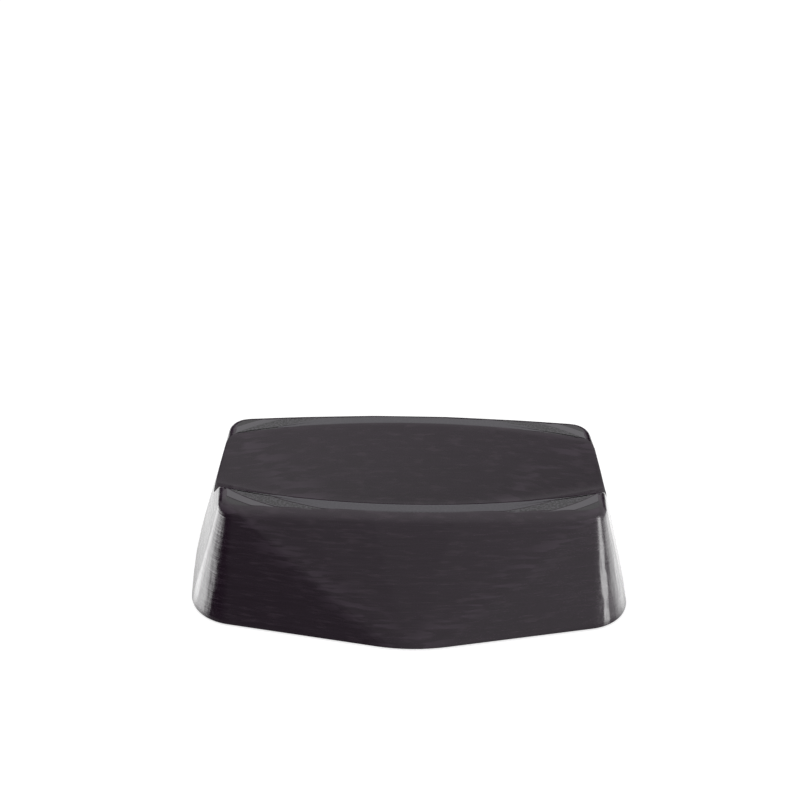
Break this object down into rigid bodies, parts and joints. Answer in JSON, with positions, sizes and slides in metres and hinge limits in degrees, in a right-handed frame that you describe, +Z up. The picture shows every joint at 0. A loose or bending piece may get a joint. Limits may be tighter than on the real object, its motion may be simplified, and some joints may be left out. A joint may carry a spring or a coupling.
{
  "type": "bike trainer front riser block",
  "caption": "Low tapered block with a vee groove along its top that lifts and holds a bicycle's front wheel on a floor.",
  "frame": {"origin": "on the floor, under the middle of the block, in the plane of the six feet", "axes": "+X along the wheel and the groove, +Y across it towards the far side, +Z up"},
  "size_m": [0.215, 0.1446, 0.0575],
  "materials": {
    "shell_plastic": "satin black moulded plastic with fine level layer lines",
    "foot_rubber": "matt black rubber"
  },
  "bodies": {
    "root": {"riser_shell": "shell_plastic", "rubber_foot_near_left": "foot_rubber", "rubber_foot_near_middle": "foot_rubber", "rubber_foot_near_right": "foot_rubber", "rubber_foot_far_right": "foot_rubber", "rubber_foot_far_middle": "foot_rubber", "rubber_foot_far_left": "foot_rubber"}
  },
  "joints": []
}
